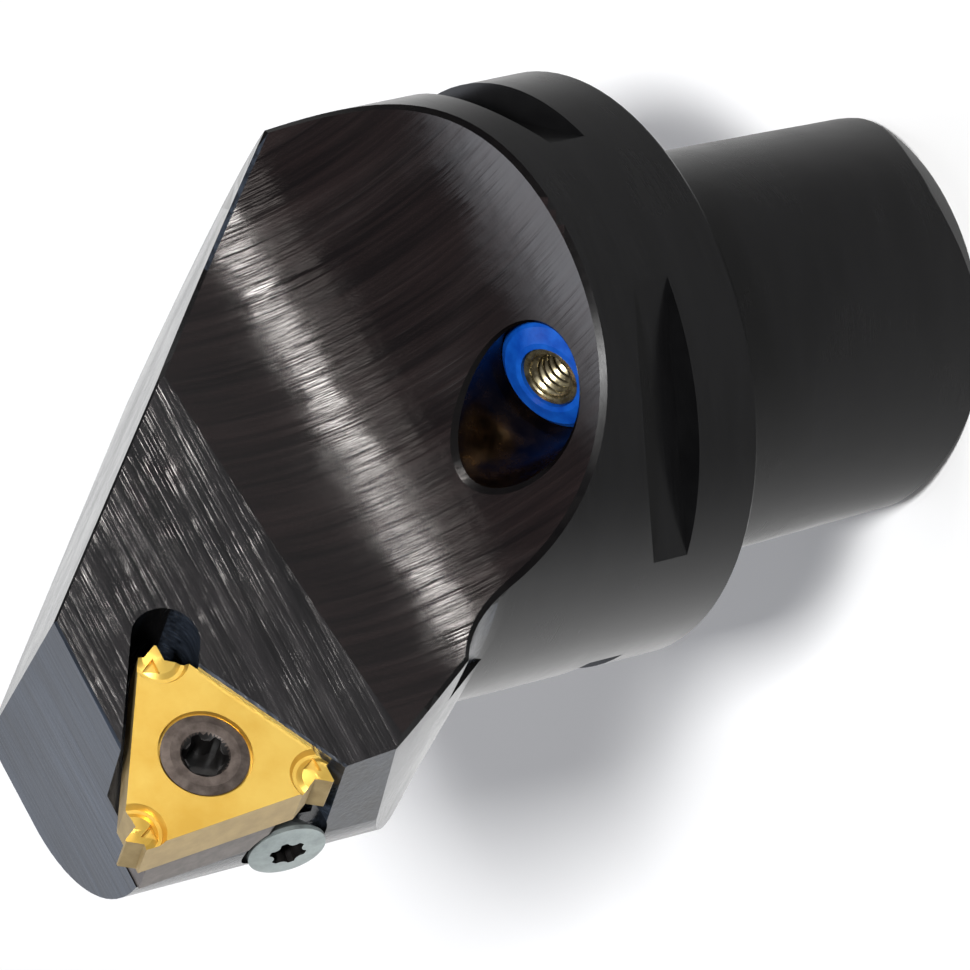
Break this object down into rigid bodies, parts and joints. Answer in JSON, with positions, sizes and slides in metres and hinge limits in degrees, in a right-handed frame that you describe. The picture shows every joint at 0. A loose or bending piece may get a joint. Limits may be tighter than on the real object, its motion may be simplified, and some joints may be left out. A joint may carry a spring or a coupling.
{
  "type": "threading tool head",
  "caption": "Right-hand external threading head: lay-down three-corner insert on a tilted seat, scooped steel head with coolant nozzle, round flange and polygon taper shank.",
  "frame": {"origin": "centre of the flange contact face, on the axis of the polygon taper and the clamp thread", "axes": "+Z along the taper axis from the shank towards the cutting head; -X towards the cutting corner; -Y out of the rake side"},
  "size_m": [0.0475, 0.04, 0.074],
  "materials": {
    "tool_body": "black oxide on ground and milled alloy steel",
    "threading_insert": "gold titanium nitride coating on carbide",
    "insert_screw": "brown-grey hardened steel",
    "shim": "ground carbide, grey-brown",
    "shim_screw": "bright turned steel",
    "nozzle_ring": "blue moulded plastic",
    "nozzle_sleeve": "pale threaded metal sleeve"
  },
  "bodies": {
    "root": {"tool_body": "tool_body", "threading_insert": "threading_insert", "insert_screw": "insert_screw", "shim": "shim", "shim_screw": "shim_screw", "nozzle_ring": "nozzle_ring", "nozzle_sleeve": "nozzle_sleeve"}
  },
  "joints": []
}
